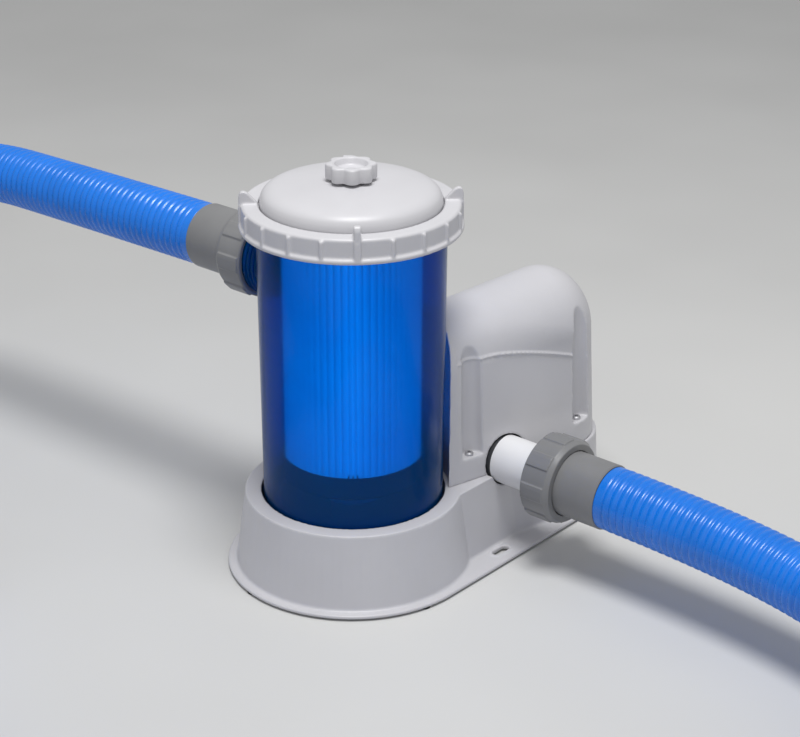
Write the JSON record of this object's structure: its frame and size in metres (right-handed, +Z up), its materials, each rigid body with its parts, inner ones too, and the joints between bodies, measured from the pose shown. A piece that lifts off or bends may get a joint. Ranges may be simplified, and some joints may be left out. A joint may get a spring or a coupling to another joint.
{
  "type": "pool filter pump",
  "caption": "Above-ground pool filter pump: clear blue cartridge tank with screwed collar and lid, moulded grey base and motor cover, and corrugated hoses on union nuts.",
  "frame": {"origin": "the filter tank's axis where the pump stands on the floor, in the middle of the centre foot's face", "axes": "+Z up along the tank, +Y along the inlet port away from the tank, -Y along the outlet; the motor housing lies towards +X, swung 13.2 degrees towards -Y"},
  "size_m": [0.7621, 1.1734, 0.3226],
  "materials": {
    "moulded_grey": "fine satin",
    "blue_tank": "clear gloss",
    "white_pipe": "satin",
    "union_grey": "satin",
    "blue_hose": "gloss",
    "black_rubber": "matte",
    "screw_steel": "brushed",
    "filter_paper": "pleated",
    "inner_plastic": "matte",
    "motor_steel": "laminated",
    "copper_wire": "enamelled",
    "magnet_black": "sintered"
  },
  "bodies": {
    "root": {"base_shell": "moulded_grey", "motor_cover": "moulded_grey", "bottom_plate": "moulded_grey", "filter_tank": "blue_tank", "outlet_pipe": "white_pipe", "suction_pipe": "white_pipe", "cartridge_seat": "white_pipe", "tank_support": "white_pipe", "inlet_cuff": "union_grey", "outlet_cuff": "union_grey", "inlet_far_nut": "union_grey", "inlet_far_cuff": "union_grey", "outlet_far_nut": "union_grey", "outlet_far_cuff": "union_grey", "inlet_hose": "blue_hose", "outlet_hose": "blue_hose", "rubber_foot_1": "black_rubber", "rubber_foot_2": "black_rubber", "rubber_foot_3": "black_rubber", "rubber_foot_4": "black_rubber", "rubber_foot_5": "black_rubber", "lid_oring": "black_rubber", "inlet_gasket": "black_rubber", "outlet_gasket": "black_rubber", "cover_screw_1": "screw_steel", "cover_screw_2": "screw_steel", "cover_screw_3": "screw_steel", "cover_screw_4": "screw_steel", "plate_screw_1": "screw_steel", "plate_screw_2": "screw_steel", "plate_screw_3": "screw_steel", "cartridge_pleats": "filter_paper", "cartridge_core": "inner_plastic", "cartridge_top_cap": "inner_plastic", "cartridge_bottom_cap": "inner_plastic", "pump_volute": "inner_plastic", "volute_lid": "inner_plastic", "rotor_can": "inner_plastic", "lower_bush": "inner_plastic", "upper_bush": "inner_plastic", "stator_frame": "inner_plastic", "cable_gland": "inner_plastic", "gland_locknut": "inner_plastic", "stator_core": "motor_steel", "stator_coil_1": "copper_wire", "stator_coil_2": "copper_wire", "stator_coil_3": "copper_wire", "stator_coil_4": "copper_wire"},
    "lid_body": {"lid": "moulded_grey", "valve_oring": "black_rubber"},
    "collar": {"collar_ring": "moulded_grey"},
    "air_valve": {"valve_stem": "white_pipe"},
    "air_valve_cap": {"air_valve_knob": "moulded_grey"},
    "inlet_nut_travel": {"inlet_slip_ring": "union_grey"},
    "inlet_union_nut": {"inlet_nut": "union_grey"},
    "outlet_nut_travel": {"outlet_slip_ring": "union_grey"},
    "outlet_union_nut": {"outlet_nut": "union_grey"},
    "rotor": {"pump_shaft": "screw_steel", "impeller": "inner_plastic", "rotor_magnet": "magnet_black"}
  },
  "joints": [
    {"name": "collar_turn", "type": "hinge", "parent": "lid_body", "child": "collar", "pos_m": [0, 0, 0.29], "axis": [0, 0, 1], "range_deg": [0, 540]},
    {"name": "lid_lift", "type": "slide", "parent": "root", "child": "lid_body", "axis": [0, 0, 1], "range_m": [0, 0.012]},
    {"name": "air_valve_turn", "type": "hinge", "parent": "air_valve", "child": "air_valve_cap", "pos_m": [0, 0, 0.317], "axis": [0, 0, 1], "range_deg": [0, 360]},
    {"name": "air_valve_lift", "type": "slide", "parent": "lid_body", "child": "air_valve", "axis": [0, 0, 1], "range_m": [0, 0.002]},
    {"name": "inlet_nut_turn", "type": "hinge", "parent": "inlet_nut_travel", "child": "inlet_union_nut", "pos_m": [0, 0.098, 0.2308], "axis": [0, 1, 0], "range_deg": [0, 720]},
    {"name": "inlet_nut_back_off", "type": "slide", "parent": "root", "child": "inlet_nut_travel", "axis": [0, 1, 0], "range_m": [0, 0.008]},
    {"name": "outlet_nut_turn", "type": "hinge", "parent": "outlet_nut_travel", "child": "outlet_union_nut", "pos_m": [0.1005, -0.121, 0.071], "axis": [0, -1, 0], "range_deg": [0, 720]},
    {"name": "outlet_nut_back_off", "type": "slide", "parent": "root", "child": "outlet_nut_travel", "axis": [0, -1, 0], "range_m": [0, 0.008]},
    {"name": "rotor_spin", "type": "hinge", "parent": "root", "child": "rotor", "pos_m": [0.12365, -0.029, 0.1], "axis": [0, 0, 1], "continuous": true}
  ],
  "couplings": [
    {"joint": "lid_lift", "follows": "collar_turn", "m_per_rad": 0.0012732},
    {"joint": "air_valve_lift", "follows": "air_valve_turn", "m_per_rad": 0.00031831},
    {"joint": "inlet_nut_back_off", "follows": "inlet_nut_turn", "m_per_rad": 0.00063662},
    {"joint": "outlet_nut_back_off", "follows": "outlet_nut_turn", "m_per_rad": 0.00063662}
  ]
}
